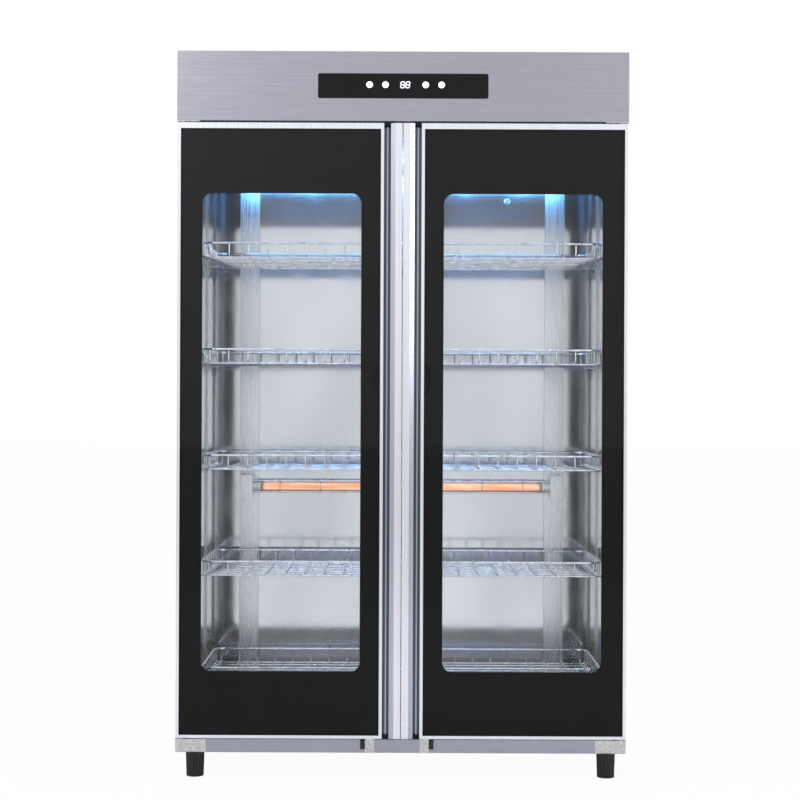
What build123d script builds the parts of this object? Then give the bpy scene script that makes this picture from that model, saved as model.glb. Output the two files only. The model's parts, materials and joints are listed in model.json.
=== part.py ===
from build123d import *
import os

# Two-door dish sterilizer cabinet with wire shelves, infrared heaters and an ozone lamp.
# Millimetres. The origin is in the middle of the floor under the cabinet, +X is to the right of
# someone facing the doors, the doors face -Y and +Z is up.

os.makedirs("parts", exist_ok=True)

# Overall
overall_width = 1180
overall_depth = 480
overall_height = 1900

# Case
foot_height = 64
rail_size = 35
rail_wall = 2
rail_recess = 18
header_height = 183
outer_sheet = 1
liner_sheet = 0.8
face_sheet = 1.5
header_sheet = 1.2
side_wall = 40
floor_wall = 41
ceiling_wall = 37
back_wall = 33
foam_header_gap = 1
seated = 0.3

# Doors
door_gap = 5
door_side_inset = 2
centre_gap = 2.5
handle_stand = 2
door_thickness = 32
gasket_thickness = 5.7
gasket_width = 16
gasket_inset = 14
lip_side = 8
lip_top = 15
lip_thickness = 2
edge_wall = 2.7
stile_width = 36
rail_depth = 30
glass_thickness = 4
print_thickness = 0.5
inner_glass_thickness = 3
inner_glass_setback = 3
window_inner_border = 50.75
window_outer_border = 65
window_bottom_border = 174
window_top_border = 184
window_radius = 26

# Handle extrusion, widths taken outwards from the middle of the cabinet
handle_flat = 18
handle_slope = 12
handle_slope_drop = 6
channel_width = 18
channel_depth = 24
channel_rib = 2
channel_rib_width = 3
channel_wall = 3
handle_back_width = 70
cap_length = 6
cap_inset = 1.5
finger_cup_width = 18
finger_cup_height = 76
finger_cup_z = 1043
finger_cup_thickness = 1.8
finger_cup_rim = 2.5
finger_cup_floor = 0.6

# Hinges
pivot_inset = 14
pivot_depth = 16
pin_radius = 4
pin_clearance = 0.05
pin_reach = 12
collar_radius = 7
leaf_thickness = 2.5
leaf_side_reach = 36
leaf_top_reach = 60
bracket_width = 80
bracket_height = 33
bracket_thickness = 2

# Catches on the base rail
catch_centres = (-81, 62)
catch_width = 24
buffer_width = 12
buffer_height = 24
buffer_reach = 11

# Cross-head screws
screw_radius = 2
screw_clearance = 0.05
screw_head_radius = 4.2
screw_head_height = 2
screw_length = 8
dome_share = 0.6
bracket_screw_offsets = ((-24, 23), (0, 10), (24, 23))
catch_screw_heights = (9, 26)

# Levelling feet
foot_inset = 50
foot_top_radius = 24.5
foot_bottom_radius = 22.5
flute_count = 20
flute_radius = 2.2
stud_radius = 6
stud_clearance = 0.05
stud_reach = 32
nut_radius = 10
nut_height = 10

# Shelves
shelf_count = 5
shelf_pitch = 281
first_rim_height = 139
shelf_side_gap = 18
shelf_front_gap = 15
shelf_back_gap = 35
shelf_height = 38
rim_radius = 3
cross_wire_radius = 2
long_wire_radius = 2.5
cross_wire_count = 21
cross_wire_end = 22
long_wire_count = 8
rim_corner = 30
wire_bend = 8
weld_bite = 0.5
long_wire_inset = 10

# Shelf standards and clips
standard_width = 20
standard_depth = 4
standard_end_gap = 10
slot_width = 8
slot_height = 14
slots_per_shelf = 8
slots_below = 2
slots_above = 8
clip_reach = 30
clip_thickness = 3
clip_leg = 24
clip_width = 14

# Heaters
post_width = 55
post_side_gap = 86
post_depth = 12
post_sheet = 1.2
heater_rises = (50, 602)
heater_back_gap = 23
tube_radius = 9.5
tube_wall = 1.5
element_radius = 4
heater_cap_radius = 12
heater_cap_length = 23
holder_offset = 14
holder_width = 34
holder_height = 64
holder_depth = 43
holder_sheet = 2
guard_radius = 16
guard_wire_radius = 2.5
guard_ring_wire_radius = 1.25
guard_ring_count = 7
guard_ring_end = 78

# Ozone lamp
lamp_radius = 8
lamp_length = 300
lamp_drop = 38
lamp_setback = 170
lamp_holder_width = 18
lamp_holder_depth = 26

# Controls
panel_width = 445
panel_height = 65
panel_rise = 92
panel_radius = 5
panel_plate = 1
panel_boss = 3
panel_overlap = 4
key_centres = (-88, -46.5, 58.5, 100)
key_rise = 3
key_radius = 8.35
key_stand = 0.6
key_travel = 1
key_flange = 1.6
key_flange_thickness = 1.5
display_x = 5
display_width = 31
display_height = 21
board_width = 400
board_height = 50
board_thickness = 1.6
board_gap = 9
board_post_end = 10
board_post_edge = 7
board_post_radius = 3
switch_size = 6

# Power supply and lead entry
power_side_gap = 180
power_back_gap = 103
power_width = 220
power_depth = 130
power_height = 58
power_flange = 12
power_sheet = 2
gland_side_gap = 110
gland_drop = 90
gland_stand = 12
gland_tube_radius = 8
gland_bore_radius = 4.5
gland_nut_flats = 11
gland_nut_thickness = 6
gland_tube_length = 14
vent_width = 60
vent_height = 5
vent_columns = 6
vent_rows = 4
vent_pitch_x = 90
vent_pitch_z = 22
probe_post_gap = 109
probe_drop = 120
probe_radius = 3
probe_length = 45
probe_flange_radius = 9
probe_flange_thickness = 2

# Worked out from the above
half_width = overall_width / 2
front = -overall_depth / 2
back = overall_depth / 2
door_face = front + handle_stand
door_back = door_face + door_thickness
case_front = door_back + gasket_thickness + seated
case_back = back - gland_stand
wall_front = case_front + face_sheet
wall_back = case_back - outer_sheet
half_cavity = half_width - side_wall
base_top = foot_height + rail_size
foam_bottom = base_top + outer_sheet
header_bottom = overall_height - header_height
cavity_bottom = base_top + floor_wall
cavity_top = header_bottom - ceiling_wall
cavity_back = case_back - back_wall
foam_top = header_bottom - foam_header_gap
foot_x = half_width - foot_inset
gland_x = half_width - gland_side_gap
gland_z = overall_height - gland_drop
door_bottom = base_top + door_gap
door_top = header_bottom - door_gap
door_outer = half_width - door_side_inset
door_inner = centre_gap / 2
glass_front = door_face + lip_thickness
glass_back = glass_front + glass_thickness
body_front = glass_back + print_thickness
pivot_x = door_outer - pivot_inset + door_side_inset
pivot_y = door_face + pivot_depth
rail_front = front + rail_recess
rail_back = rail_front + rail_size


def cuboid(x, y, z):
    """A box between the low and high value of each direction."""
    with BuildPart() as made:
        with Locations(((x[0] + x[1]) / 2, (y[0] + y[1]) / 2, (z[0] + z[1]) / 2)):
            Box(x[1] - x[0], y[1] - y[0], z[1] - z[0])
    return made.part


def span(side, near, far):
    """The low and high x of a piece on one side of the cabinet."""
    return sorted((side * near, side * far))


def facing(x, y, z):
    """A plane that looks out of the front of the cabinet, with its x to the right and y up."""
    return Plane(origin=(x, y, z), x_dir=(1, 0, 0), z_dir=(0, -1, 0))


def save(label, *solids):
    """Writes one sub-part, made of one solid or of several separate ones."""
    piece = solids[0] if len(solids) == 1 else Compound(children=list(solids))
    piece.label = label
    export_step(piece, f"parts/{label}.step")


# Screws, each placed by the point under its head, all driven from the front
bracket_screws = [
    (side * (half_width - bracket_width / 2 + across), rail_front - bracket_thickness, foot_height + up)
    for side in (-1, 1)
    for across, up in bracket_screw_offsets
]
catch_screws = [
    (centre, rail_front - bracket_thickness, foot_height + up)
    for centre in catch_centres
    for up in catch_screw_heights
]
screw_seats = bracket_screws + catch_screws


def screw(seat):
    """A pan-head screw with a cross recess, its shank pointing to the back."""
    with BuildPart() as made:
        with BuildSketch(facing(*seat)):
            Circle(screw_head_radius)
        extrude(amount=screw_head_height)
        fillet(made.faces().sort_by(Axis.Y)[0].edges(), screw_head_height * dome_share)
        with BuildSketch(facing(*seat).offset(screw_head_height)):
            Rectangle(screw_head_radius, screw_head_height / 2)
            Rectangle(screw_head_height / 2, screw_head_radius)
        extrude(amount=-screw_head_height / 2, mode=Mode.SUBTRACT)
        with BuildSketch(facing(*seat)):
            Circle(screw_radius)
        extrude(amount=-screw_length)
    return made.part


def screw_hole_sketch(seats):
    """The round holes for these screws, seen from the front."""
    with Locations(*[(x, z) for x, _, z in seats]):
        Circle(screw_radius + screw_clearance)


# Base frame: four square tubes, the front and back ones the full width
def cross_rail(rear, seats):
    """A square tube along X with a welded nut over each levelling foot."""
    middle = rear - rail_size / 2
    with BuildPart() as made:
        with BuildSketch(Plane.YZ.offset(-door_outer)):
            with Locations((middle, foot_height + rail_size / 2)):
                Rectangle(rail_size, rail_size)
                Rectangle(rail_size - 2 * rail_wall, rail_size - 2 * rail_wall, mode=Mode.SUBTRACT)
        extrude(amount=2 * door_outer)
        with BuildSketch(Plane.XY.offset(foot_height + rail_wall)):
            with Locations((-foot_x, middle), (foot_x, middle)):
                Circle(nut_radius)
        extrude(amount=nut_height)
        with BuildSketch(Plane.XY.offset(foot_height)):
            with Locations((-foot_x, middle), (foot_x, middle)):
                Circle(stud_radius + stud_clearance)
        extrude(amount=rail_wall + nut_height, mode=Mode.SUBTRACT)
        if seats:
            with BuildSketch(facing(0, rail_front, 0)):
                screw_hole_sketch(seats)
            extrude(amount=-rail_wall, mode=Mode.SUBTRACT)
    return made.part


def side_rail(side):
    """A square tube along Y between the cross rails."""
    low, high = span(side, door_outer - rail_size, door_outer)
    with BuildPart() as made:
        with BuildSketch(Plane.XZ.offset(-rail_back)):
            with Locations(((low + high) / 2, foot_height + rail_size / 2)):
                Rectangle(rail_size, rail_size)
                Rectangle(rail_size - 2 * rail_wall, rail_size - 2 * rail_wall, mode=Mode.SUBTRACT)
        extrude(amount=rail_back - (case_back - rail_size))
    return made.part


save("base_frame", cross_rail(rail_back, screw_seats), cross_rail(case_back, []), side_rail(-1), side_rail(1))
save("base_pan", cuboid((-half_width, half_width), (wall_front, wall_back), (base_top, foam_bottom)))

# Outer case
for name, side in (("left", -1), ("right", 1)):
    panel = cuboid(
        span(side, half_width - outer_sheet, half_width),
        (wall_front, wall_back),
        (foam_bottom, overall_height - outer_sheet),
    )
    save(f"side_panel_{name}", panel)

with BuildPart() as back_panel:
    with BuildSketch(Plane.XZ.offset(-wall_back)):
        with Locations((0, (base_top + overall_height - outer_sheet) / 2)):
            Rectangle(overall_width, overall_height - outer_sheet - base_top)
        with Locations((gland_x, gland_z)):
            Circle(gland_tube_radius + seated, mode=Mode.SUBTRACT)
        with Locations((0, gland_z)):
            with GridLocations(vent_pitch_x, vent_pitch_z, vent_columns, vent_rows):
                SlotOverall(vent_width, vent_height, mode=Mode.SUBTRACT)
    extrude(amount=-outer_sheet)
save("back_panel", back_panel.part)
save(
    "top_cover",
    cuboid(
        (-half_width, half_width), (case_front, case_back), (overall_height - outer_sheet, overall_height)
    ),
)

panel_z = header_bottom + panel_rise
with BuildPart() as header_fascia:
    with BuildSketch(Plane.YZ.offset(-half_width)):
        with BuildLine():
            Polyline(
                (case_front, header_bottom),
                (door_face, header_bottom),
                (door_face, overall_height),
                (case_front, overall_height),
                close=True,
            )
        make_face()
    extrude(amount=overall_width)
    fillet(header_fascia.edges().filter_by(Axis.X).group_by(Axis.Y)[0], header_sheet)
    with BuildSketch(Plane.YZ.offset(header_sheet - half_width)):
        with BuildLine():
            Polyline(
                (case_front, header_bottom + header_sheet),
                (door_face + header_sheet, header_bottom + header_sheet),
                (door_face + header_sheet, overall_height - header_sheet),
                (case_front, overall_height - header_sheet),
                close=True,
            )
        make_face()
    extrude(amount=overall_width - 2 * header_sheet, mode=Mode.SUBTRACT)
    with BuildSketch(facing(0, door_face, panel_z)):
        Rectangle(panel_width - 2 * panel_overlap, panel_height - 2 * panel_overlap)
    extrude(amount=-header_sheet, mode=Mode.SUBTRACT)
save("header_fascia", header_fascia.part)

save(
    "face_frame",
    cuboid((-half_width, -half_cavity), (case_front, wall_front), (base_top, header_bottom)),
    cuboid((half_cavity, half_width), (case_front, wall_front), (base_top, header_bottom)),
    cuboid((-half_cavity, half_cavity), (case_front, wall_front), (base_top, cavity_bottom)),
    cuboid((-half_cavity, half_cavity), (case_front, wall_front), (cavity_top, header_bottom)),
)

# Mirror-finish lining and the foam behind it
liner_x = half_cavity + liner_sheet
liner_z = (cavity_bottom - liner_sheet, cavity_top + liner_sheet)
liner_rear = cavity_back + liner_sheet
inside_x = (-half_cavity, half_cavity)
save(
    "liner",
    cuboid((-liner_x, -half_cavity), (wall_front, cavity_back), liner_z),
    cuboid((half_cavity, liner_x), (wall_front, cavity_back), liner_z),
    cuboid((-liner_x, liner_x), (cavity_back, liner_rear), liner_z),
    cuboid(inside_x, (wall_front, cavity_back), (liner_z[0], cavity_bottom)),
    cuboid(inside_x, (wall_front, cavity_back), (cavity_top, liner_z[1])),
)

foam_x = half_width - outer_sheet
save(
    "insulation",
    cuboid((-foam_x, -liner_x), (wall_front, wall_back), (foam_bottom, foam_top)),
    cuboid((liner_x, foam_x), (wall_front, wall_back), (foam_bottom, foam_top)),
    cuboid((-liner_x, liner_x), (liner_rear, wall_back), (foam_bottom, foam_top)),
    cuboid((-liner_x, liner_x), (wall_front, liner_rear), (foam_bottom, liner_z[0])),
    cuboid((-liner_x, liner_x), (wall_front, liner_rear), (liner_z[1], foam_top)),
)


# Doors. Every outline is drawn for the right door and turned over for the left one.
def outline(points, side, plane_z, length):
    """Extrudes an outline of (x, y) points upwards, on one side of the cabinet."""
    with BuildPart() as made:
        with BuildSketch(Plane.XY.offset(plane_z)):
            with BuildLine():
                Polyline(*[(side * x, y) for x, y in points], close=True)
            make_face()
        extrude(amount=length)
    return made.part


door_height = door_top - door_bottom
lip_inner = door_outer - lip_side
channel_start = door_inner + handle_flat + handle_slope
channel_end = channel_start + channel_width
handle_lip_end = channel_end + lip_side
handle_body = door_inner + handle_back_width
rebate_inner = channel_end + channel_wall
rebate_outer = door_outer - edge_wall
stile_body = door_outer - stile_width
channel_floor = front + channel_depth
rib_middle = (channel_start + channel_end) / 2


def stile_with_hinge_holes(side):
    """The hinge-side member of a door frame, full height, bored at both ends for the pins."""
    points = [
        (door_outer, door_face),
        (lip_inner, door_face),
        (lip_inner, glass_front),
        (rebate_outer, glass_front),
        (rebate_outer, body_front),
        (stile_body, body_front),
        (stile_body, door_back),
        (door_outer, door_back),
    ]
    stile = outline(points, side, door_bottom, door_height)
    bore_depth = pin_reach + 2 * pin_radius
    with BuildPart() as made:
        add(stile)
        for end in (door_bottom, door_top - bore_depth):
            with BuildSketch(Plane.XY.offset(end)):
                with Locations((side * pivot_x, pivot_y)):
                    Circle(pin_radius + pin_clearance)
            extrude(amount=bore_depth, mode=Mode.SUBTRACT)
    return made.part


def door_rail(side, outer_z, inwards, lip):
    """The top or bottom member of a door frame: a lip over the glass and a box behind it."""
    with BuildPart() as made:
        with BuildSketch(Plane.YZ.offset(span(side, handle_lip_end, lip_inner)[0])):
            with BuildLine():
                Polyline(
                    (door_face, outer_z),
                    (door_face, outer_z + inwards * lip),
                    (glass_front, outer_z + inwards * lip),
                    (glass_front, outer_z + inwards * edge_wall),
                    (body_front, outer_z + inwards * edge_wall),
                    (body_front, outer_z),
                    close=True,
                )
            make_face()
        extrude(amount=lip_inner - handle_lip_end)
        with BuildSketch(Plane.YZ.offset(span(side, handle_body, stile_body)[0])):
            with Locations(((body_front + door_back) / 2, outer_z + inwards * rail_depth / 2)):
                Rectangle(door_back - body_front, rail_depth)
        extrude(amount=stile_body - handle_body)
    return made.part


handle_points = [
    (door_inner, front),
    (door_inner + handle_flat, front),
    (channel_start, front + handle_slope_drop),
    (channel_start, channel_floor),
    (rib_middle - channel_rib_width / 2, channel_floor),
    (rib_middle - channel_rib_width / 2, channel_floor - channel_rib),
    (rib_middle + channel_rib_width / 2, channel_floor - channel_rib),
    (rib_middle + channel_rib_width / 2, channel_floor),
    (channel_end, channel_floor),
    (channel_end, door_face),
    (handle_lip_end, door_face),
    (handle_lip_end, glass_front),
    (rebate_inner, glass_front),
    (rebate_inner, body_front),
    (handle_body, body_front),
    (handle_body, door_back),
    (door_inner, door_back),
]
pane_x = (rebate_inner + seated, rebate_outer - seated)
pane_z = (door_bottom + edge_wall + seated, door_top - edge_wall - seated)
clear_x = (handle_body + seated, stile_body - seated)
clear_z = (door_bottom + rail_depth + seated, door_top - rail_depth - seated)
inner_glass_back = door_back - inner_glass_setback


def printed_border(side):
    """The black border printed on the back of the glass, around the clear window."""
    low, high = span(side, *pane_x)
    left, right = span(side, handle_lip_end + window_inner_border, door_outer - window_outer_border)
    low_z, high_z = door_bottom + window_bottom_border, door_top - window_top_border
    with BuildPart() as made:
        with BuildSketch(facing(0, glass_back, 0)):
            with Locations(((low + high) / 2, (pane_z[0] + pane_z[1]) / 2)):
                Rectangle(high - low, pane_z[1] - pane_z[0])
            with Locations(((left + right) / 2, (low_z + high_z) / 2)):
                RectangleRounded(right - left, high_z - low_z, window_radius, mode=Mode.SUBTRACT)
        extrude(amount=-print_thickness)
    return made.part


def gasket_strips(side):
    """Four seal strips on the back of a door, the upright ones the full height."""
    outer = door_outer - gasket_inset
    inner = door_inner + gasket_inset
    low_z, high_z = door_bottom + gasket_inset / 2, door_top - gasket_inset / 2
    depth = (door_back, door_back + gasket_thickness)
    between = span(side, inner + gasket_width + seated, outer - gasket_width - seated)
    return [
        cuboid(span(side, outer - gasket_width, outer), depth, (low_z, high_z)),
        cuboid(span(side, inner, inner + gasket_width), depth, (low_z, high_z)),
        cuboid(between, depth, (low_z, low_z + gasket_width)),
        cuboid(between, depth, (high_z - gasket_width, high_z)),
    ]


def half_ellipse(side, width, height):
    """Half an ellipse with its flat side to the handle, in a sketch on the door's face."""
    with Locations((side * handle_lip_end, finger_cup_z)):
        Ellipse(width, height / 2)
    with Locations((side * (handle_lip_end - width / 2), finger_cup_z)):
        Rectangle(width, height, mode=Mode.SUBTRACT)


def finger_cup(side):
    """A shallow half-round cup beside the handle, lying on the glass."""
    with BuildPart() as made:
        with BuildSketch(facing(0, glass_front, 0)):
            half_ellipse(side, finger_cup_width, finger_cup_height)
        extrude(amount=finger_cup_thickness)
        with BuildSketch(facing(0, glass_front - finger_cup_floor, 0)):
            half_ellipse(side, finger_cup_width - finger_cup_rim, finger_cup_height - 2 * finger_cup_rim)
        extrude(amount=finger_cup_thickness - finger_cup_floor, mode=Mode.SUBTRACT)
    return made.part


def handle_caps(side):
    """Plastic caps that close the handle's channel at its two ends."""
    across = span(side, channel_start + seated, channel_end - seated)
    deep = (front + handle_slope_drop + cap_inset, channel_floor - channel_rib - seated)
    return [
        cuboid(across, deep, (door_bottom, door_bottom + cap_length)),
        cuboid(across, deep, (door_top - cap_length, door_top)),
    ]


for name, side in (("left", -1), ("right", 1)):
    save(
        f"door_{name}_frame",
        stile_with_hinge_holes(side),
        door_rail(side, door_bottom, 1, lip_side),
        door_rail(side, door_top, -1, lip_top),
    )
    save(f"door_{name}_handle", outline(handle_points, side, door_bottom, door_height))
    save(f"door_{name}_glass", cuboid(span(side, *pane_x), (glass_front, glass_back), pane_z))
    save(f"door_{name}_glass_print", printed_border(side))
    inner_pane = cuboid(
        span(side, *clear_x), (inner_glass_back - inner_glass_thickness, inner_glass_back), clear_z
    )
    save(f"door_{name}_inner_glass", inner_pane)
    save(f"door_{name}_gasket", *gasket_strips(side))
    save(f"door_{name}_finger_cup", finger_cup(side))
    save(f"door_{name}_handle_caps", *handle_caps(side))


# Hinge brackets, each with its pin
def hinge_bracket_low(side):
    """A plate on the base rail, a leaf over it and a pin that stands up into the door."""
    with BuildPart() as made:
        with BuildSketch(facing(0, rail_front, 0)):
            with Locations((side * (half_width - bracket_width / 2), base_top - bracket_height / 2)):
                Rectangle(bracket_width, bracket_height)
            with Locations(*[(x, z) for x, _, z in bracket_screws if x * side > 0]):
                Circle(screw_radius + screw_clearance, mode=Mode.SUBTRACT)
        extrude(amount=bracket_thickness)
        low, high = span(side, half_width - leaf_side_reach, half_width)
        with BuildSketch(Plane.XY.offset(base_top)):
            with Locations(((low + high) / 2, (door_face + case_front - seated) / 2)):
                Rectangle(high - low, case_front - seated - door_face)
        extrude(amount=leaf_thickness)
        with BuildSketch(Plane.XY.offset(base_top + leaf_thickness)):
            with Locations((side * pivot_x, pivot_y)):
                Circle(collar_radius)
        extrude(amount=door_bottom - seated - base_top - leaf_thickness)
        with BuildSketch(Plane.XY.offset(door_bottom - seated)):
            with Locations((side * pivot_x, pivot_y)):
                Circle(pin_radius)
        extrude(amount=pin_reach)
    return made.part


def hinge_bracket_high(side):
    """A leaf under the header and a pin that hangs down into the door."""
    low, high = span(side, half_width - leaf_top_reach, half_width)
    with BuildPart() as made:
        with BuildSketch(Plane.XY.offset(header_bottom)):
            with Locations(((low + high) / 2, (door_face + case_front - seated) / 2)):
                Rectangle(high - low, case_front - seated - door_face)
        extrude(amount=-leaf_thickness)
        with BuildSketch(Plane.XY.offset(header_bottom - leaf_thickness)):
            with Locations((side * pivot_x, pivot_y)):
                Circle(collar_radius)
        extrude(amount=door_top + seated - header_bottom + leaf_thickness)
        with BuildSketch(Plane.XY.offset(door_top + seated)):
            with Locations((side * pivot_x, pivot_y)):
                Circle(pin_radius)
        extrude(amount=-pin_reach)
    return made.part


save(
    "hinge_brackets",
    hinge_bracket_low(-1),
    hinge_bracket_low(1),
    hinge_bracket_high(-1),
    hinge_bracket_high(1),
)


# Catches and their rubber buffers, one pair under each door's closing edge
def catch_plate(centre):
    """A small plate that is screwed to the base rail and turned back over its top."""
    with BuildPart() as made:
        with BuildSketch(facing(0, rail_front, 0)):
            with Locations((centre, foot_height + rail_size / 2)):
                Rectangle(catch_width, rail_size)
            with Locations(*[(x, z) for x, _, z in catch_screws if x == centre]):
                Circle(screw_radius + screw_clearance, mode=Mode.SUBTRACT)
        extrude(amount=bracket_thickness)
        with BuildSketch(Plane.XY.offset(base_top)):
            with Locations((centre, rail_front - bracket_thickness + rail_size / 4)):
                Rectangle(catch_width, rail_size / 2)
        extrude(amount=bracket_thickness)
    return made.part


def door_buffer(centre):
    """A rubber block on the rail beside a catch, on the side away from the middle."""
    side = -1 if centre < 0 else 1
    near = abs(centre) + catch_width / 2 + seated
    with BuildPart() as made:
        with Locations(
            (
                side * (near + buffer_width / 2),
                rail_front - buffer_reach / 2,
                base_top - buffer_height / 2,
            )
        ):
            Box(buffer_width, buffer_reach, buffer_height)
        fillet(made.edges().filter_by(Axis.X).group_by(Axis.Y)[0], buffer_width / 4)
    return made.part


save("door_catches", *[catch_plate(centre) for centre in catch_centres])
save("door_buffers", *[door_buffer(centre) for centre in catch_centres])
save("screws", *[screw(seat) for seat in screw_seats])


# Levelling feet
def levelling_foot(x, y):
    """A fluted, slightly tapered foot with its threaded stud standing up into the rail's nut."""
    rings = ((0, foot_bottom_radius), (foot_height - seated, foot_top_radius))
    with BuildPart() as made:
        for z, radius in rings:
            with BuildSketch(Plane(origin=(x, y, z))):
                Circle(radius)
                with PolarLocations(radius, flute_count):
                    Circle(flute_radius, mode=Mode.SUBTRACT)
        loft(ruled=True)
        with BuildSketch(Plane(origin=(x, y, foot_height - seated))):
            Circle(stud_radius)
        extrude(amount=stud_reach)
    return made.part


foot_rows = (("front", rail_back - rail_size / 2), ("back", case_back - rail_size / 2))
for row, y in foot_rows:
    for name, side in (("left", -1), ("right", 1)):
        save(f"foot_{row}_{name}", levelling_foot(side * foot_x, y))

# Shelves
shelf_front = case_front + shelf_front_gap
shelf_back = cavity_back - shelf_back_gap
rim_half = half_cavity - shelf_side_gap - rim_radius
rim_front = shelf_front + rim_radius
rim_back = shelf_back - rim_radius
rim_middle_y = (rim_front + rim_back) / 2
rim_span_y = rim_back - rim_front
cross_step = rim_radius + cross_wire_radius - weld_bite
long_step = rim_radius + long_wire_radius - weld_bite
cross_drop = shelf_height - rim_radius - cross_wire_radius
long_drop = cross_drop + cross_wire_radius + long_wire_radius - weld_bite
shelf_bottom_drop = long_drop + long_wire_radius
first_long_y = rim_front + cross_step + long_wire_inset
long_pitch = (rim_span_y - 2 * (cross_step + long_wire_inset)) / (long_wire_count - 1)
cross_wire_pitch = 2 * (rim_half + rim_radius - cross_wire_end) / (cross_wire_count - 1)
long_wire_ys = [first_long_y + n * long_pitch for n in range(long_wire_count)]


def bent_wire(corners, radius):
    """A round wire down, across and up four corner points, with an equal bend at both turns."""
    with BuildPart() as made:
        with BuildLine() as path:
            FilletPolyline(*corners, radius=wire_bend)
        with BuildSketch(Plane(origin=corners[0], z_dir=(0, 0, -1))):
            Circle(radius)
        sweep(path=path.wires()[0])
    return made.part


def wire_basket():
    """A welded basket: rim at z = 0, cross wires turned up front and back, and long wires below."""
    rim_z, cross_z, long_z = 0, -cross_drop, -long_drop
    near_y, far_y = rim_front + cross_step, rim_back - cross_step
    side_x = rim_half - long_step
    cross_wires = []
    for n in range(cross_wire_count):
        x = (n - (cross_wire_count - 1) / 2) * cross_wire_pitch
        corners = ((x, near_y, rim_z), (x, near_y, cross_z), (x, far_y, cross_z), (x, far_y, rim_z))
        cross_wires.append(bent_wire(corners, cross_wire_radius))
    long_wires = []
    for y in long_wire_ys:
        corners = ((-side_x, y, rim_z), (-side_x, y, long_z), (side_x, y, long_z), (side_x, y, rim_z))
        long_wires.append(bent_wire(corners, long_wire_radius))
    with BuildPart() as made:
        with BuildLine() as path:
            with BuildSketch(Plane(origin=(0, rim_middle_y, rim_z)), mode=Mode.PRIVATE) as loop:
                RectangleRounded(2 * rim_half, rim_span_y, rim_corner)
            add(loop.sketch.faces()[0].outer_wire())
        with BuildSketch(Plane(origin=(0, rim_front, rim_z), z_dir=(1, 0, 0))):
            Circle(rim_radius)
        sweep(path=path.wires()[0])
        add(cross_wires + long_wires)
    return made.part


basket = wire_basket()
rim_heights = [cavity_bottom + first_rim_height + n * shelf_pitch for n in range(shelf_count)]
for number, rim_z in enumerate(rim_heights, start=1):
    save(f"shelf_{number}", basket.moved(Location((0, 0, rim_z))))

# Slotted standards on the side walls, and the clips that carry the shelves
standard_ys = (long_wire_ys[1], long_wire_ys[-2])
clip_tops = [rim_z - shelf_bottom_drop - seated for rim_z in rim_heights]
slot_pitch = shelf_pitch / slots_per_shelf
first_slot = clip_tops[0] - clip_thickness / 2
slot_heights = [
    first_slot + n * slot_pitch
    for n in range(-slots_below, slots_per_shelf * (shelf_count - 1) + slots_above + 1)
]
standard_face = half_cavity - standard_depth


def standard(side, y):
    """A strip on a side wall with a row of slots."""
    bottom, crown = cavity_bottom + standard_end_gap, cavity_top - standard_end_gap
    with BuildPart() as made:
        with BuildSketch(Plane.YZ.offset(span(side, standard_face, half_cavity)[0])):
            with Locations((y, (bottom + crown) / 2)):
                Rectangle(standard_width, crown - bottom)
            with Locations(*[(y, z) for z in slot_heights]):
                Rectangle(slot_width, slot_height, mode=Mode.SUBTRACT)
        extrude(amount=standard_depth)
    return made.part


def clip(side, y, top):
    """A bent clip: a tab under the shelf, a leg down the standard and a tongue in its slot."""
    with BuildPart() as made:
        with BuildSketch(Plane.XZ.offset(-y - clip_width / 2)):
            with BuildLine():
                Polyline(
                    (side * standard_face, top),
                    (side * (standard_face - clip_reach), top),
                    (side * (standard_face - clip_reach), top - clip_thickness),
                    (side * (standard_face - clip_thickness), top - clip_thickness),
                    (side * (standard_face - clip_thickness), top - clip_leg),
                    (side * standard_face, top - clip_leg),
                    close=True,
                )
            make_face()
        extrude(amount=clip_width)
        low, high = span(side, standard_face, half_cavity - seated)
        with Locations(((low + high) / 2, y, top - clip_thickness / 2)):
            Box(high - low, slot_width - 2 * seated, clip_thickness)
    return made.part


save("shelf_standards", *[standard(side, y) for side in (-1, 1) for y in standard_ys])
save("shelf_clips", *[clip(side, y, z) for z in clip_tops for side in (-1, 1) for y in standard_ys])


# Posts on the back wall, with the two heaters between them
post_outer = half_cavity - post_side_gap
post_inner = post_outer - post_width
holder_inner = post_inner + holder_offset
heater_heights = [cavity_bottom + rise for rise in heater_rises]


def back_post(side):
    """A shallow channel with its open side to the back wall."""
    post_front = cavity_back - post_depth
    points = [
        (post_inner, post_front),
        (post_outer, post_front),
        (post_outer, cavity_back),
        (post_outer - post_sheet, cavity_back),
        (post_outer - post_sheet, post_front + post_sheet),
        (post_inner + post_sheet, post_front + post_sheet),
        (post_inner + post_sheet, cavity_back),
        (post_inner, cavity_back),
    ]
    return outline(points, side, cavity_bottom, cavity_top - cavity_bottom)


heater_y = cavity_back - post_depth - heater_back_gap
tube_end = holder_inner - heater_cap_length


def heater_tube(z):
    """A quartz tube along X."""
    with BuildPart() as made:
        with BuildSketch(Plane.YZ.offset(-tube_end)):
            with Locations((heater_y, z)):
                Circle(tube_radius)
                Circle(tube_radius - tube_wall, mode=Mode.SUBTRACT)
        extrude(amount=2 * tube_end)
    return made.part


def round_bar(x, y, z, radius, length):
    """A cylinder along X that starts at x."""
    with BuildPart() as made:
        with BuildSketch(Plane.YZ.offset(x)):
            with Locations((y, z)):
                Circle(radius)
        extrude(amount=length)
    return made.part


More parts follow.
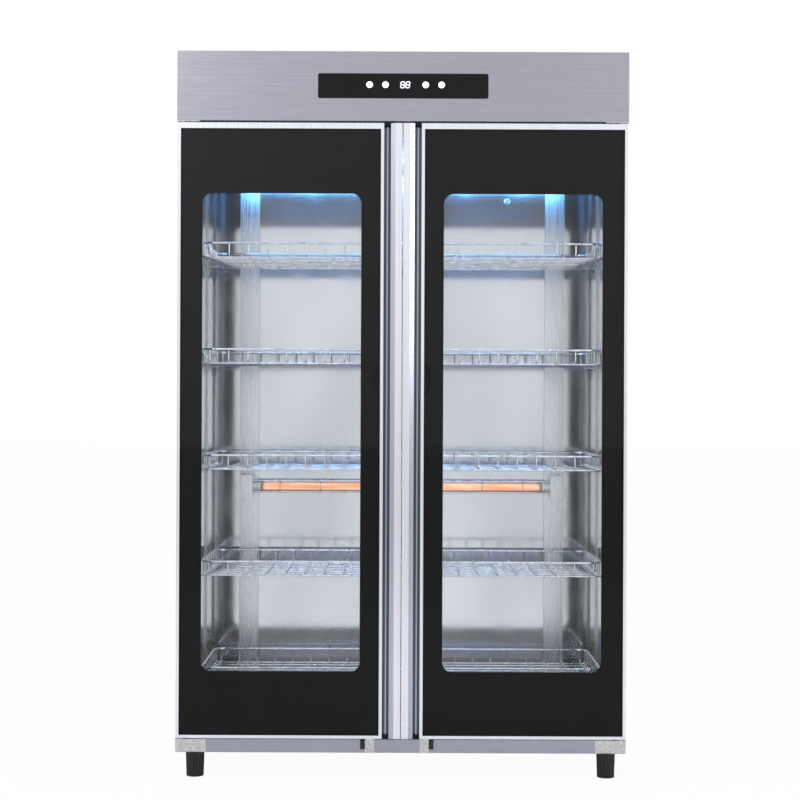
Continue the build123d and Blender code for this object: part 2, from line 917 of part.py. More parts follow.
def heater_holder(side, z):
    """A sheet holder with its open side to the post."""
    back_face = cavity_back - post_depth
    low, high = span(side, holder_inner, holder_inner + holder_width)
    with BuildPart() as made:
        with Locations(((low + high) / 2, back_face - holder_depth / 2, z)):
            Box(high - low, holder_depth, holder_height)
        with Locations(((low + high) / 2, back_face - (holder_depth - holder_sheet) / 2, z)):
            Box(
                high - low - 2 * holder_sheet,
                holder_depth - holder_sheet,
                holder_height - 2 * holder_sheet,
                mode=Mode.SUBTRACT,
            )
    return made.part


def heater_guard(z):
    """Two long wires above and below a tube, joined by rings around it."""
    ring_pitch = 2 * (holder_inner - guard_ring_end) / (guard_ring_count - 1)
    ring_xs = [(n - (guard_ring_count - 1) / 2) * ring_pitch for n in range(guard_ring_count)]
    with BuildPart() as made:
        with BuildSketch(Plane.YZ.offset(-holder_inner)):
            with Locations((heater_y, z - guard_radius), (heater_y, z + guard_radius)):
                Circle(guard_wire_radius)
        extrude(amount=2 * holder_inner)
        with Locations(*[(x, heater_y, z) for x in ring_xs]):
            Torus(guard_radius, guard_ring_wire_radius, rotation=(0, 90, 0))
    return made.part


save("back_posts", back_post(-1), back_post(1))
save("heater_tubes", *[heater_tube(z) for z in heater_heights])
save(
    "heater_elements",
    *[round_bar(-tube_end, heater_y, z, element_radius, 2 * tube_end) for z in heater_heights],
)
save(
    "heater_caps",
    *[
        round_bar(x, heater_y, z, heater_cap_radius, heater_cap_length)
        for z in heater_heights
        for x in (-holder_inner, tube_end)
    ],
)
save("heater_holders", *[heater_holder(side, z) for z in heater_heights for side in (-1, 1)])
save("heater_guards", *[heater_guard(z) for z in heater_heights])

# Ozone lamp under the ceiling
lamp_z = cavity_top - lamp_drop
lamp_y = case_front + lamp_setback
lamp_end = lamp_length / 2
holder_low = lamp_z - lamp_holder_depth / 2
lamp_holders = [
    cuboid(
        span(side, lamp_end, lamp_end + lamp_holder_width),
        (lamp_y - lamp_holder_depth / 2, lamp_y + lamp_holder_depth / 2),
        (holder_low, cavity_top),
    )
    for side in (-1, 1)
]
save("ozone_lamp", round_bar(-lamp_end, lamp_y, lamp_z, lamp_radius, lamp_length))
save("lamp_holders", *lamp_holders)

# Control panel in the header
key_z = panel_z + key_rise
board_post_x = board_width / 2 - board_post_end
board_post_z = board_height / 2 - board_post_edge
panel_front = door_face - panel_plate
panel_back = door_face + panel_boss
board_front = panel_back + board_gap
boss_trim = 2 * panel_overlap + 2 * seated
with BuildPart() as control_fascia:
    with BuildSketch(facing(0, door_face, panel_z)):
        RectangleRounded(panel_width, panel_height, panel_radius)
    extrude(amount=panel_plate)
    with BuildSketch(facing(0, door_face, panel_z)):
        Rectangle(panel_width - boss_trim, panel_height - boss_trim)
    extrude(amount=-panel_boss)
    with BuildSketch(facing(0, panel_front, key_z)):
        with Locations(*[(x, 0) for x in key_centres]):
            Circle(key_radius + seated)
        with Locations((display_x, 0)):
            Rectangle(display_width + 2 * seated, display_height + 2 * seated)
    extrude(amount=-panel_plate - panel_boss, mode=Mode.SUBTRACT)
save("control_fascia", control_fascia.part)

key_seat = panel_back + seated
key_back = key_seat + key_flange_thickness


def control_key(x):
    """A round key cap with a wider flange behind the panel."""
    with BuildPart() as made:
        with BuildSketch(facing(x, key_seat, key_z)):
            Circle(key_radius)
        extrude(amount=key_seat - panel_front + key_stand)
        fillet(made.faces().sort_by(Axis.Y)[0].edges(), key_stand / 2)
        with BuildSketch(facing(x, key_back, key_z)):
            Circle(key_radius + key_flange)
        extrude(amount=key_flange_thickness)
    return made.part


for number, x in enumerate(key_centres, start=1):
    save(f"key_{number}", control_key(x))

with BuildPart() as control_board:
    with BuildSketch(facing(0, board_front, panel_z)):
        Rectangle(board_width, board_height)
    extrude(amount=-board_thickness)
    with BuildSketch(facing(0, board_front, panel_z)):
        with GridLocations(2 * board_post_x, 2 * board_post_z, 2, 2):
            Circle(board_post_radius)
    extrude(amount=board_gap)
    with BuildSketch(facing(0, board_front, key_z)):
        with Locations(*[(x, 0) for x in key_centres]):
            Rectangle(switch_size, switch_size)
    extrude(amount=board_front - key_back - key_travel - seated)
save("control_board", control_board.part)

with BuildPart() as display_module:
    with BuildSketch(facing(display_x, board_front, key_z)):
        Rectangle(display_width, display_height)
    extrude(amount=board_front - panel_front - seated)
save("display_module", display_module.part)

# Power supply on top of the foam, behind the header
power_x = power_side_gap + power_width / 2 - half_width
power_y = case_back - power_back_gap - power_depth / 2
with BuildPart() as power_module:
    with BuildSketch(Plane.XY.offset(foam_top)):
        with Locations((power_x, power_y)):
            Rectangle(power_width + 2 * power_flange, power_depth)
    extrude(amount=power_sheet)
    with BuildSketch(Plane.XY.offset(foam_top)):
        with Locations((power_x, power_y)):
            Rectangle(power_width, power_depth)
    extrude(amount=power_height)
    fillet(power_module.faces().sort_by(Axis.Z)[-1].edges(), power_sheet)
    with BuildSketch(Plane.XY.offset(foam_top)):
        with Locations((power_x, power_y)):
            Rectangle(power_width - 2 * power_sheet, power_depth - 2 * power_sheet)
    extrude(amount=power_height - power_sheet, mode=Mode.SUBTRACT)
save("power_module", power_module.part)

# Lead entry in the back panel
hexagon_radius = gland_nut_flats / (3**0.5 / 2)
with BuildPart() as cable_gland:
    with BuildSketch(Plane.XZ.offset(-case_back)):
        with Locations((gland_x, gland_z)):
            RegularPolygon(hexagon_radius, 6)
    extrude(amount=-gland_stand)
    with BuildSketch(Plane.XZ.offset(-case_back)):
        with Locations((gland_x, gland_z)):
            Circle(gland_tube_radius)
    extrude(amount=gland_tube_length)
    with BuildSketch(Plane.XZ.offset(-wall_back)):
        with Locations((gland_x, gland_z)):
            RegularPolygon(hexagon_radius, 6)
    extrude(amount=gland_nut_thickness)
    with BuildSketch(Plane.XZ.offset(-back)):
        with Locations((gland_x, gland_z)):
            Circle(gland_bore_radius)
    extrude(amount=gland_stand + gland_tube_length, mode=Mode.SUBTRACT)
save("cable_gland", cable_gland.part)

# Temperature probe on the back wall
probe_x = post_inner - probe_post_gap
probe_z = cavity_top - probe_drop
with BuildPart() as temperature_probe:
    with BuildSketch(Plane.XZ.offset(-cavity_back)):
        with Locations((probe_x, probe_z)):
            Circle(probe_flange_radius)
    extrude(amount=probe_flange_thickness)
    with BuildSketch(Plane.XZ.offset(-cavity_back)):
        with Locations((probe_x, probe_z)):
            Circle(probe_radius)
    extrude(amount=probe_length)
    fillet(temperature_probe.faces().sort_by(Axis.Y)[0].edges(), probe_radius * dome_share)
save("temperature_probe", temperature_probe.part)
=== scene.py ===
import json
import math

import bmesh
import bpy
import numpy as np
from mathutils import Matrix, Vector


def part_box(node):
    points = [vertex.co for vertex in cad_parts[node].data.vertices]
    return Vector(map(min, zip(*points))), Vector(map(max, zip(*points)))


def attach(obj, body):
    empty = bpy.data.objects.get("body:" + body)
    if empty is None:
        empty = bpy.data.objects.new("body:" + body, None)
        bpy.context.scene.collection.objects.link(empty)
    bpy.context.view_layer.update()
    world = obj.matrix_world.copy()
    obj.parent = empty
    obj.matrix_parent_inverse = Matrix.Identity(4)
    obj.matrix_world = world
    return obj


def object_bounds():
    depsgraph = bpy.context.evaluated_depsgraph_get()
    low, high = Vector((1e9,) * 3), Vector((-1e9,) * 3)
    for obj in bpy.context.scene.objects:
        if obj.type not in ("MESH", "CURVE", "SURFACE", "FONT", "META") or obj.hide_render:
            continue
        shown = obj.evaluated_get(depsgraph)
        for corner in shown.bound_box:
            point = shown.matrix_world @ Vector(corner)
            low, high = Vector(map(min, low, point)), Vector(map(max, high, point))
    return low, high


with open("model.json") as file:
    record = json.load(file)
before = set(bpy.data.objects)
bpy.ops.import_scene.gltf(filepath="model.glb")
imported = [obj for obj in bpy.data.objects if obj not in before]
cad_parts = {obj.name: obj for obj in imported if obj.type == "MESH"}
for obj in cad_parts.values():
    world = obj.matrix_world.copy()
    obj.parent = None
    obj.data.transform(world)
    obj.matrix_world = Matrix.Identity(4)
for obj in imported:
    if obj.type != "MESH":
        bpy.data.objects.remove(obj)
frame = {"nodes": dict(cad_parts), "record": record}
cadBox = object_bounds()
print("frame loaded")

mm = 0.001  # millimetres to Blender's metres


def hexToLinear(code):
    # each sRGB channel is decoded with the standard curve
    srgb = np.array([int(code[i:i + 2], 16) for i in (0, 2, 4)]) / 255
    linear = np.where(srgb <= 0.04045, srgb / 12.92, ((srgb + 0.055) / 1.055) ** 2.4)
    return (*linear.tolist(), 1.0)


def addNode(tree, kind, settings=None, links=None):
    # one node with its settings (attributes or input values) and its incoming links
    node = tree.nodes.new(kind)
    for key, value in (settings or {}).items():
        if isinstance(key, str) and hasattr(node, key):
            setattr(node, key, value)
        else:
            node.inputs[key].default_value = value
    for key, source in (links or {}).items():
        tree.links.new(source, node.inputs[key])
    return node


def newMaterial(name):
    # an empty node tree with a Principled shader on its output
    material = bpy.data.materials.new(name)
    material.use_nodes = True
    tree = material.node_tree
    tree.nodes.clear()
    shader = addNode(tree, "ShaderNodeBsdfPrincipled")
    addNode(tree, "ShaderNodeOutputMaterial", links={"Surface": shader.outputs[0]})
    return material, tree, shader


def ramp(tree, source, stops):
    # a colour ramp through (position, hex) stops
    node = addNode(tree, "ShaderNodeValToRGB", links={0: source})
    while len(node.color_ramp.elements) < len(stops):
        node.color_ramp.elements.new(0.5)
    for element, (position, code) in zip(node.color_ramp.elements, stops):
        element.position = position
        element.color = hexToLinear(code)
    return node.outputs[0]


def scaledNoise(tree, scaleXyz, detail=3.0, roughness=0.5):
    # noise on object coordinates, its scale given per axis in cycles per metre
    place = addNode(tree, "ShaderNodeTexCoord")
    mapping = addNode(tree, "ShaderNodeMapping", {"Scale": scaleXyz}, {"Vector": place.outputs["Object"]})
    return addNode(
        tree,
        "ShaderNodeTexNoise",
        {"Scale": 1.0, "Detail": detail, "Roughness": roughness},
        {"Vector": mapping.outputs[0]},
    ).outputs["Fac"]


def addBump(tree, shader, height, strength, distance):
    # bends the shading normal by a height field
    bump = addNode(tree, "ShaderNodeBump", {"Strength": strength, "Distance": distance}, {"Height": height})
    tree.links.new(bump.outputs[0], shader.inputs["Normal"])


def spread(tree, source, low, high):
    # maps the 0.3 to 0.7 middle of a noise to a range
    return addNode(
        tree,
        "ShaderNodeMapRange",
        {"From Min": 0.3, "From Max": 0.7, "To Min": low, "To Max": high},
        {"Value": source},
    ).outputs[0]


brushed = {
    "grainLengthMm": 140,  # brushing strokes run along one axis
    "grainWidthMm": 1.6,  # real grain is 0.1 mm; drawn coarser so that it shows
    "grainShare": 0.55,
    "cloudShare": (0.14, 0.32),
    "roughness": (0.24, 0.36),
}


def brushedSteel(name, dark, light, axis, roughness=None):
    # AISI 304 sheet, belt-brushed along one axis: fine parallel lines and a stretched sheen
    material, tree, shader = newMaterial(name)
    along, across = 1000 / brushed["grainLengthMm"], 1000 / brushed["grainWidthMm"]
    scale = [across, across, across]
    scale["xyz".index(axis)] = along
    grain = scaledNoise(tree, scale, 4.0, 0.6)
    cloud = scaledNoise(tree, (2.2, 2.2, 2.2), 2.0)
    mixed = addNode(
        tree,
        "ShaderNodeMath",
        {"operation": "MULTIPLY_ADD", 1: brushed["grainShare"]},
        {0: grain, 2: spread(tree, cloud, *brushed["cloudShare"])},
    ).outputs[0]
    tree.links.new(ramp(tree, mixed, ((0.25, dark), (0.75, light))), shader.inputs["Base Color"])
    tree.links.new(spread(tree, grain, *(roughness or brushed["roughness"])), shader.inputs["Roughness"])
    shader.inputs["Metallic"].default_value = 1.0
    addBump(tree, shader, grain, 0.06, 0.03 * mm)
    return material


def mirrorSteel():
    # bright-annealed stainless lining: a mirror with the slight waves of thin sheet
    material, tree, shader = newMaterial("brightAnnealedStainless")
    waves = scaledNoise(tree, (3.0, 3.0, 1.4), 1.0)
    haze = scaledNoise(tree, (14, 14, 14), 4.0)
    tree.links.new(ramp(tree, waves, ((0.3, "b9bbc0"), (0.7, "cfd1d5"))), shader.inputs["Base Color"])
    tree.links.new(spread(tree, haze, 0.08, 0.13), shader.inputs["Roughness"])
    shader.inputs["Metallic"].default_value = 1.0
    addBump(tree, shader, waves, 0.5, 0.6 * mm)
    return material


handleShade = {
    "faceYMm": -234.5,  # in front of this depth the extrusion is open to the light
    "floorYMm": -219.0,
    "channelMm": (31.2, 49.4),  # distances from the middle of the cabinet
    "ribMm": (38.4, 42.1),
    "facetMm": (19.3, 31.2),
}


def absolute(tree, value):
    # the size of a value without its sign
    return addNode(tree, "ShaderNodeMath", {"operation": "ABSOLUTE"}, {0: value}).outputs[0]


def between(tree, value, rangeMm):
    # 1 where value, in metres, lies in the range, else 0
    low, high = (limit * mm for limit in rangeMm)
    middle, half = (low + high) / 2, (high - low) / 2
    return addNode(
        tree, "ShaderNodeMath", {"operation": "COMPARE", 1: middle, 2: half}, {0: value}
    ).outputs[0]


def blendColor(tree, factor, first, second):
    # first where factor is 0, second where it is 1, each a hex code or a socket
    node = addNode(tree, "ShaderNodeMix", {"data_type": "RGBA"})
    tree.links.new(factor, node.inputs[0])
    for socket, value in ((node.inputs[6], first), (node.inputs[7], second)):
        if isinstance(value, str):
            socket.default_value = hexToLinear(value)
        else:
            tree.links.new(value, socket)
    return node.outputs[2]


def anodisedAluminium():
    # extruded and clear-anodised 6063: die lines along Z and a soft even shine; the darker
    # channel and facet are painted by position to match the photo, not made by the light
    material, tree, shader = newMaterial("anodisedAluminium")
    lines = scaledNoise(tree, (900, 900, 1.2), 3.0)
    bright = ramp(tree, lines, ((0.3, "dcdee8"), (0.7, "f4f5fb")))
    place = addNode(tree, "ShaderNodeTexCoord").outputs["Object"]
    axes = addNode(tree, "ShaderNodeSeparateXYZ", links={0: place})
    across = absolute(tree, axes.outputs["X"])
    facet = between(tree, across, handleShade["facetMm"])
    rib = between(tree, across, handleShade["ribMm"])
    inChannel = between(tree, across, handleShade["channelMm"])
    deep = addNode(
        tree,
        "ShaderNodeMapRange",
        {"From Min": handleShade["faceYMm"] * mm, "From Max": handleShade["floorYMm"] * mm},
        {"Value": axes.outputs["Y"]},
    ).outputs[0]
    hidden = addNode(
        tree, "ShaderNodeMath", {"operation": "MULTIPLY"}, {0: deep, 1: inChannel}
    ).outputs[0]
    body = blendColor(tree, facet, bright, "b6b9c5")
    floor = blendColor(tree, rib, "4d5662", "a3a9b8")
    tree.links.new(blendColor(tree, hidden, body, floor), shader.inputs["Base Color"])
    tree.links.new(spread(tree, lines, 0.2, 0.3), shader.inputs["Roughness"])
    shader.inputs["Metallic"].default_value = 1.0
    addBump(tree, shader, lines, 0.08, 0.04 * mm)
    return material


def plainMetal(name, dark, light, roughness, grainMm):
    # plated or rolled steel: slight mottling at the size of its spangle
    material, tree, shader = newMaterial(name)
    spangle = scaledNoise(tree, (1000 / grainMm,) * 3, 3.0)
    tree.links.new(ramp(tree, spangle, ((0.3, dark), (0.7, light))), shader.inputs["Base Color"])
    tree.links.new(spread(tree, spangle, *roughness), shader.inputs["Roughness"])
    shader.inputs["Metallic"].default_value = 1.0
    addBump(tree, shader, spangle, 0.06, 0.05 * mm)
    return material


def mouldedPlastic(name, dark, light, roughness, grainMm, bumpMm=0.05, ior=1.5):
    # injection-moulded or moulded rubber: one colour with the fine grain of its tool
    material, tree, shader = newMaterial(name)
    grain = scaledNoise(tree, (1000 / grainMm,) * 3, 3.0)
    tree.links.new(ramp(tree, grain, ((0.3, dark), (0.7, light))), shader.inputs["Base Color"])
    tree.links.new(spread(tree, grain, *roughness), shader.inputs["Roughness"])
    shader.inputs["IOR"].default_value = ior
    addBump(tree, shader, grain, 0.15, bumpMm * mm)
    return material


def clearGlass(name, tint):
    # clear tempered glass; its index is set below the real 1.5, so that reflections stay as faint
    # as in the photo
    material, tree, shader = newMaterial(name)
    wave = scaledNoise(tree, (3, 3, 0.8), 1.0)  # roller wave from tempering, seen only in reflections
    addBump(tree, shader, wave, 0.05, 0.02 * mm)
    shader.inputs["Roughness"].default_value = 0.0
    shader.inputs["Base Color"].default_value = hexToLinear(tint)
    shader.inputs["Transmission Weight"].default_value = 1.0
    shader.inputs["IOR"].default_value = 1.22
    return material


glow = {"tubeHalfMm": 394, "fadeMm": 6, "tubeStrength": 0.95, "lampStrength": 1.5, "keyStrength": 1.0}


def glowingQuartz():
    # milky quartz over a hot element: peach light that stops short of the end caps
    material, tree, shader = newMaterial("glowingQuartz")
    place = addNode(tree, "ShaderNodeTexCoord").outputs["Object"]
    axes = addNode(tree, "ShaderNodeSeparateXYZ", links={0: place})
    reach = absolute(tree, axes.outputs["X"])
    hot = addNode(
        tree,
        "ShaderNodeMapRange",
        {
            "From Min": (glow["tubeHalfMm"] + glow["fadeMm"]) * mm,
            "From Max": (glow["tubeHalfMm"] - glow["fadeMm"]) * mm,
            "To Min": 0.0,
            "To Max": glow["tubeStrength"],
        },
        {"Value": reach},
    ).outputs[0]
    streak = scaledNoise(tree, (7, 60, 60), 2.0)
    tint = ramp(tree, streak, ((0.3, "ff8652"), (0.5, "ffb68c"), (0.72, "ffe4c8")))
    tree.links.new(tint, shader.inputs["Emission Color"])
    tree.links.new(hot, shader.inputs["Emission Strength"])
    shader.inputs["Base Color"].default_value = hexToLinear("6b4a3e")
    shader.inputs["Roughness"].default_value = 0.2
    shader.inputs["IOR"].default_value = 1.46
    return material


def lit(name, code, strength, roughness=0.3):
    # a lit face: its own light over a pale diffuser with the unevenness of the part behind it
    material, tree, shader = newMaterial(name)
    patch = scaledNoise(tree, (220, 220, 220), 2.0)
    tree.links.new(spread(tree, patch, strength * 0.9, strength), shader.inputs["Emission Strength"])
    shader.inputs["Emission Color"].default_value = hexToLinear(code)
    shader.inputs["Base Color"].default_value = hexToLinear(code)
    shader.inputs["Roughness"].default_value = roughness
    return material


# black_acrylic and black_plastic have an index below the real one, for the photo's faint shine
materials = {
    "brushed_stainless": brushedSteel("brushedStainlessHorizontal", "9d9da8", "aaaab5", "x"),
    "side_panels": brushedSteel("brushedStainlessVertical", "9d9da8", "aaaab5", "z"),
    "galvanised_steel": plainMetal("galvanisedSteel", "8d9093", "a4a7aa", (0.35, 0.5), 14),
    "mirror_stainless": mirrorSteel(),
    "satin_stainless": brushedSteel("satinStainless", "b5b7bd", "d2d4d9", "z", (0.22, 0.32)),
    "plated_steel": plainMetal("nickelPlatedSteel", "b9b9b8", "d8d8d6", (0.18, 0.3), 6),
    "chromed_wire": plainMetal("chromedWire", "b4b7bc", "dfe1e5", (0.08, 0.16), 9),
    "black_rubber": mouldedPlastic("nitrileRubber", "0c0c0c", "171717", (0.55, 0.7), 0.8),
    "mineral_wool": mouldedPlastic("mineralWool", "a8945a", "cdbb84", (0.9, 1.0), 4, 1.5),
    "quartz_glass": glowingQuartz(),
    "heater_glow": lit("hotElement", "ffab78", glow["tubeStrength"]),
    "white_ceramic": mouldedPlastic("steatiteCeramic", "d9d6cf", "ebe9e3", (0.4, 0.55), 1.2),
    "lamp_glass": lit("ozoneLampGlass", "8fd2ff", glow["lampStrength"]),
    "white_plastic": mouldedPlastic("whitePbt", "d6d7d6", "e6e7e6", (0.35, 0.45), 0.7),
    "black_acrylic": mouldedPlastic("blackAcrylic", "050507", "09090b", (0.04, 0.08), 40, 0.01, 1.3),
    "display_black": mouldedPlastic("smokedDisplay", "040406", "07070a", (0.06, 0.1), 40, 0.01, 1.49),
    "circuit_board": mouldedPlastic("solderMaskedBoard", "0b3d1f", "14592e", (0.3, 0.4), 2.0),
    "black_plastic": mouldedPlastic("blackAbs", "030304", "070708", (0.6, 0.7), 0.7, 0.01, 1.3),
    # the keys have no lamp behind them: their glow is painted light that lifts them to bright white; the
    # display digits share this material and give off their own light
    "white_key": lit("keyPaintedGlowAndDigitLight", "f3f6ff", glow["keyStrength"]),
    "anodised_aluminium": anodisedAluminium(),
    "clear_glass": clearGlass("temperedGlass", "fdfefe"),
    "black_print": mouldedPlastic("blackCeramicPrint", "141517", "18191c", (0.5, 0.56), 60, 0.001),
    "grey_seal": mouldedPlastic("greySiliconeSeal", "35363a", "44464a", (0.5, 0.65), 1.2),
    "foot_plastic": mouldedPlastic("glassFilledNylon", "0a0a0a", "151515", (0.4, 0.55), 0.6),
}
print("materials made")

# CAD nodes take their slot's material
seeThrough = {"clear_glass"}
for entry in frame["record"]["subparts"]:
    node = frame["nodes"][entry["node"]]
    slotName = entry["material_slot"]
    if entry["node"].startswith("side_panel"):
        slotName = "side_panels"
    node.data.materials.clear()
    node.data.materials.append(materials[slotName])
    if slotName in seeThrough:
        node.visible_shadow = False  # clear panes let the studio light through
print("frame dressed")


def meshPiece(name, points, faces, slotName, body):
    # one mesh object at the origin, dressed and riding on its body
    mesh = bpy.data.meshes.new(name)
    mesh.from_pydata(np.asarray(points).tolist(), [], faces)
    mesh.validate()
    mesh.materials.append(materials[slotName])
    piece = bpy.data.objects.new(name, mesh)
    bpy.context.collection.objects.link(piece)
    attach(piece, body)
    return piece


markGapMm = 0.02  # raised marks stand this far off their face
display = {
    "digits": 2,
    "digitWidthMm": 9.5,
    "digitHeightMm": 15.5,
    "strokeMm": 2.2,
    "leanMm": 0.9,
    "pitchMm": 13.5,
    "thickMm": 0.25,
    "tipGapMm": 0.4,
}


def prismFaces(start, sides):
    # the two ends and the sides of a prism whose second ring of points follows the first
    ends = [[start + n for n in reversed(range(sides))], [start + sides + n for n in range(sides)]]
    around = [(start + n, start + (n + 1) % sides) for n in range(sides)]
    return ends + [[a, b, b + sides, a + sides] for a, b in around]


def digitSegments():
    # each segment is a flat hexagon: a bar between two corner points with pointed ends
    low, high = (Vector(v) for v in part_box("display_module"))
    centre = (low + high) / 2
    faceY = low.y - markGapMm * mm
    w, h, t = display["digitWidthMm"] / 2, display["digitHeightMm"] / 2, display["strokeMm"]
    ends = {
        "top": ((-w, h), (w, h)),
        "right above": ((w, h), (w, 0)),
        "right below": ((w, 0), (w, -h)),
        "bottom": ((-w, -h), (w, -h)),
        "left below": ((-w, 0), (-w, -h)),
        "left above": ((-w, h), (-w, 0)),
        "middle": ((-w, 0), (w, 0)),
    }
    points, faces = [], []
    for number in range(display["digits"]):
        shift = (number - (display["digits"] - 1) / 2) * display["pitchMm"]
        for pair in ends.values():
            a, b = (np.array(p) for p in pair)
            along = (b - a) / np.linalg.norm(b - a)
            across = np.array((-along[1], along[0])) * t / 2
            a, b = a + along * display["tipGapMm"], b - along * display["tipGapMm"]
            ring = [
                a,
                a + along * t / 2 + across,
                b - along * t / 2 + across,
                b,
                b - along * t / 2 - across,
                a + along * t / 2 - across,
            ]
            flat = np.array([(p[0] + shift + display["leanMm"] * p[1] / h, p[1]) for p in ring])
            start = len(points)
            for depth in (0.0, -display["thickMm"]):
                points += [(centre.x + p[0] * mm, faceY + depth * mm, centre.z + p[1] * mm) for p in flat]
            faces += prismFaces(start, len(ring))
    return meshPiece("displayDigits", points, faces, "white_key", "cabinet")


digits = digitSegments()
print("display lit")

symbols = {
    "ringMm": (2.6, 3.3),
    "barMm": (0.7, 4.4),
    "thickMm": 0.12,
    "turns": 40,
    "wideGap": 1.1,  # radians of a ring left open at the top
    "closedGap": 0.02,
    "topBarShare": 0.6,
}


def ringPoints(inner, outer, gap):
    # two circles of points, radius by angle, with an opening of gap radians at the top
    angle = np.linspace(gap / 2, 2 * np.pi - gap / 2, symbols["turns"])
    rim = np.stack((np.sin(angle), np.cos(angle)), axis=1)
    return np.concatenate((rim * inner, rim * outer))


def barPoints(width, height):
    # the corners of a rectangle around the middle
    return np.array(((-width, -height), (width, -height), (width, height), (-width, height))) / 2


def keySymbol(name, body, outlines):
    # flat marks on a key: each outline is raised by thickMm, front face towards the viewer
    low, high = (np.array(v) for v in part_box(body))
    centre, faceY = (low + high) / 2, low[1] - markGapMm * mm
    points, faces = [], []
    for kind, flat in outlines:
        start, count = len(points), len(flat)
        for depth in (0.0, -symbols["thickMm"] * mm):
            points += [(centre[0] + p[0] * mm, faceY + depth, centre[2] + p[1] * mm) for p in flat]
        half = count // 2
        if kind == "ring":
            for n in range(half - 1):
                a, b, c, d = start + n, start + n + 1, start + half + n + 1, start + half + n
                faces += [[a, b, c, d], [a + count, d + count, c + count, b + count]]
                faces += [[a, a + count, b + count, b], [d, c, c + count, d + count]]
            faces += [[start, start + half, start + half + count, start + count]]
            last = start + half - 1
            faces += [[last, last + count, last + half + count, last + half]]
        else:
            faces += prismFaces(start, count)
    return meshPiece(name, points, faces, "display_black", body)


thin, tall = symbols["barMm"]
openRing = ("ring", ringPoints(*symbols["ringMm"], symbols["wideGap"]))
fullRing = ("ring", ringPoints(*symbols["ringMm"], symbols["closedGap"]))
upright = ("bar", barPoints(thin, tall))
level = ("bar", barPoints(tall, thin))
topBar = ("bar", barPoints(thin, tall * symbols["topBarShare"]) + np.array((0, tall / 2)))
keyMarks = ([openRing, topBar], [fullRing, level], [upright, level], [level])
marks = [keySymbol(f"keySymbol{n}", f"key_{n}", outlines) for n, outlines in enumerate(keyMarks, start=1)]
print("keys marked")

rivets = {
    "radiusMm": 4.0,
    "heightMm": 1.6,
    "rings": 5,
    "turns": 16,
    "edgeMm": 14,
    "countDown": 13,
    "countAcross": 9,
}


def rivetDomes():
    # each rivet is a shallow paraboloid on the back panel: height (1 - r squared) over a polar grid
    low, high = (np.array(v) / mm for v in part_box("back_panel"))
    edge = rivets["edgeMm"]
    levels = np.linspace(low[2] + edge, high[2] - edge, rivets["countDown"])
    crossings = np.linspace(low[0] + edge, high[0] - edge, rivets["countAcross"])
    seats = [(x, z) for x in crossings[[0, -1]] for z in levels]
    seats += [(x, z) for x in crossings[1:-1] for z in levels[[0, -1]]]
    share = np.linspace(0, 1, rivets["rings"])
    angle = np.arange(rivets["turns"]) * 2 * np.pi / rivets["turns"]
    r, a = np.meshgrid(share[1:], angle, indexing="ij")
    x, z = rivets["radiusMm"] * r * np.cos(a), rivets["radiusMm"] * r * np.sin(a)
    y = high[1] + rivets["heightMm"] * (1 - r**2)
    dome = np.stack((x.ravel(), y.ravel(), z.ravel()), axis=1)
    dome = np.vstack(([0, high[1] + rivets["heightMm"], 0], dome))
    turns, rings = rivets["turns"], rivets["rings"] - 1
    one = [[0, 1 + (n + 1) % turns, 1 + n] for n in range(turns)]
    for k in range(rings - 1):
        edges = [(1 + k * turns + n, 1 + k * turns + (n + 1) % turns) for n in range(turns)]
        one += [[a, b, b + turns, a + turns] for a, b in edges]
    one += [[1 + (rings - 1) * turns + n for n in range(turns)]]
    points, faces = [], []
    for x, z in seats:
        start = len(points)
        points += (dome + np.array((x, 0, z))).tolist()
        faces += [[start + n for n in face] for face in one]
    return meshPiece("backRivets", np.array(points) * mm, faces, "plated_steel", "cabinet")


def outwards(piece):
    # recalculates normals on a closed mesh
    work = bmesh.new()
    work.from_mesh(piece.data)
    bmesh.ops.recalc_face_normals(work, faces=work.faces)
    work.to_mesh(piece.data)
    work.free()


backRivets = rivetDomes()
for piece in [backRivets, digits] + marks:
    outwards(piece)
print("rivets set")

stageValues = {"floorHalfM": 30, "floorColor": "f7f7f8", "floorGlow": 0.96, "ambient": 0.55}


def seenRays(tree, kinds):
    # 1 for rays of any of these kinds, else 0
    path = addNode(tree, "ShaderNodeLightPath")
    seen = path.outputs[kinds[0]]
    for kind in kinds[1:]:
        links = {0: seen, 1: path.outputs[kind]}
        seen = addNode(tree, "ShaderNodeMath", {"operation": "MAXIMUM"}, links).outputs[0]
    return seen


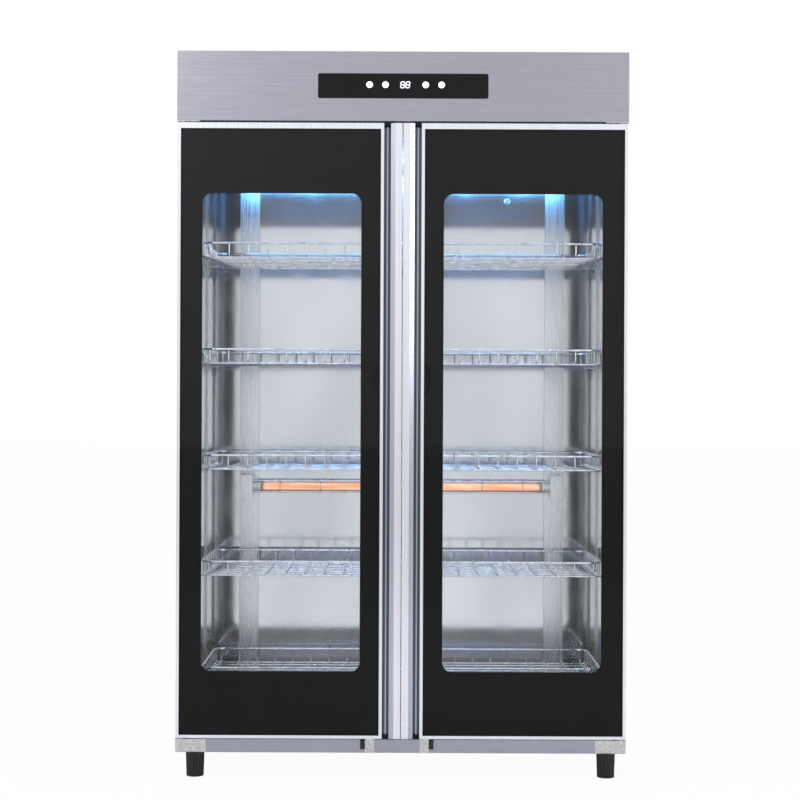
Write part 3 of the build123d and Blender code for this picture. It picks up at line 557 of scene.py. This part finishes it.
def buildStage():
    # a wide pale floor; camera rays see it lifted to white while the shadow stays
    half = stageValues["floorHalfM"]
    corners = [(-half, -half, 0), (half, -half, 0), (half, half, 0), (-half, half, 0)]
    mesh = bpy.data.meshes.new("floor")
    mesh.from_pydata(corners, [], [(0, 1, 2, 3)])
    floor = bpy.data.objects.new("floor", mesh)
    bpy.context.collection.objects.link(floor)
    material = bpy.data.materials.new("studioFloor")
    material.use_nodes = True
    tree = material.node_tree
    tree.nodes.clear()
    paint = addNode(tree, "ShaderNodeBsdfDiffuse", {"Color": hexToLinear(stageValues["floorColor"])})
    white = addNode(tree, "ShaderNodeEmission", {"Color": (1, 1, 1, 1), "Strength": 1.0})
    seen = seenRays(tree, ("Is Camera Ray", "Is Transmission Ray"))
    share = addNode(
        tree, "ShaderNodeMath", {"operation": "MULTIPLY", 1: stageValues["floorGlow"]}, {0: seen}
    )
    mix = addNode(
        tree, "ShaderNodeMixShader", links={0: share.outputs[0], 1: paint.outputs[0], 2: white.outputs[0]}
    )
    addNode(tree, "ShaderNodeOutputMaterial", links={"Surface": mix.outputs[0]})
    mesh.materials.append(material)

    world = bpy.data.worlds.new("studio")
    bpy.context.scene.world = world
    world.use_nodes = True
    tree = world.node_tree
    tree.nodes.clear()
    seen = seenRays(tree, ("Is Camera Ray", "Is Transmission Ray", "Is Glossy Ray"))
    ambient, backdrop = (
        addNode(tree, "ShaderNodeBackground", {"Color": (1, 1, 1, 1), "Strength": strength}).outputs[0]
        for strength in (stageValues["ambient"], 1.0)
    )
    mix = addNode(tree, "ShaderNodeMixShader", links={0: seen, 1: ambient, 2: backdrop})
    addNode(tree, "ShaderNodeOutputWorld", links={"Surface": mix.outputs[0]})


def areaLight(name, place, target, size, watts, color):
    # a soft rectangular lamp at a place, turned to a target, in metres
    light = bpy.data.lights.new(name, "AREA")
    light.shape = "RECTANGLE"
    light.size, light.size_y = size
    light.energy = watts
    light.color = hexToLinear(color)[:3]
    lamp = bpy.data.objects.new(name, light)
    bpy.context.collection.objects.link(lamp)
    lamp.location = place
    lamp.rotation_euler = (Vector(target) - Vector(place)).to_track_quat("-Z", "Y").to_euler()
    return lamp


cameraValues = {
    "mmPerPixel": 2.61,  # on the plane of the handle fronts
    "distanceM": 4.3,
    "centreMm": (-5, 989),
    "rollDeg": 0.25,
    "imagePixels": 800,
    "sensorMm": 36,
}


def buildCamera():
    # level with the middle of the picture, looking along +Y, with the photo's slight roll
    values = cameraValues
    camera = bpy.data.cameras.new("camera")
    viewMm = values["mmPerPixel"] * values["imagePixels"]
    camera.sensor_width = values["sensorMm"]
    camera.lens = values["sensorMm"] * values["distanceM"] / (viewMm * mm)
    holder = bpy.data.objects.new("camera", camera)
    bpy.context.collection.objects.link(holder)
    x, z = (value * mm for value in values["centreMm"])
    holder.matrix_world = (
        Matrix.Translation((x, cadBox[0][1] - values["distanceM"], z))
        @ Matrix.Rotation(math.radians(90), 4, "X")
        @ Matrix.Rotation(math.radians(values["rollDeg"]), 4, "Z")
    )
    bpy.context.scene.camera = holder


buildStage()
buildCamera()
# place, target, size, watts and colour of each light: three of the studio, two inside the cabinet
lights = {
    "keyLight": ((-2.6, -3.6, 3.2), (0, 0, 1.0), (1.6, 1.6), 60, "ffffff"),
    "fillLight": ((3.0, -3.2, 2.2), (0, 0, 1.0), (1.6, 2.0), 40, "ffffff"),
    "topLight": ((0, -0.4, 4.2), (0, 0, 1.0), (2.4, 2.4), 50, "ffffff"),
    "insideGlow": ((0, -0.185, 0.9), (0, 0.2, 0.9), (1.0, 1.45), 0.9, "f6f7ff"),
    "ozoneGlow": ((0, -0.06, 1.64), (0, 0.2, 1.42), (0.95, 0.05), 5, "5cacf2"),
}
for name, values in lights.items():
    areaLight(name, *values)
scene = bpy.context.scene
scene.view_settings.view_transform = "Standard"
print("stage, camera and lights set")
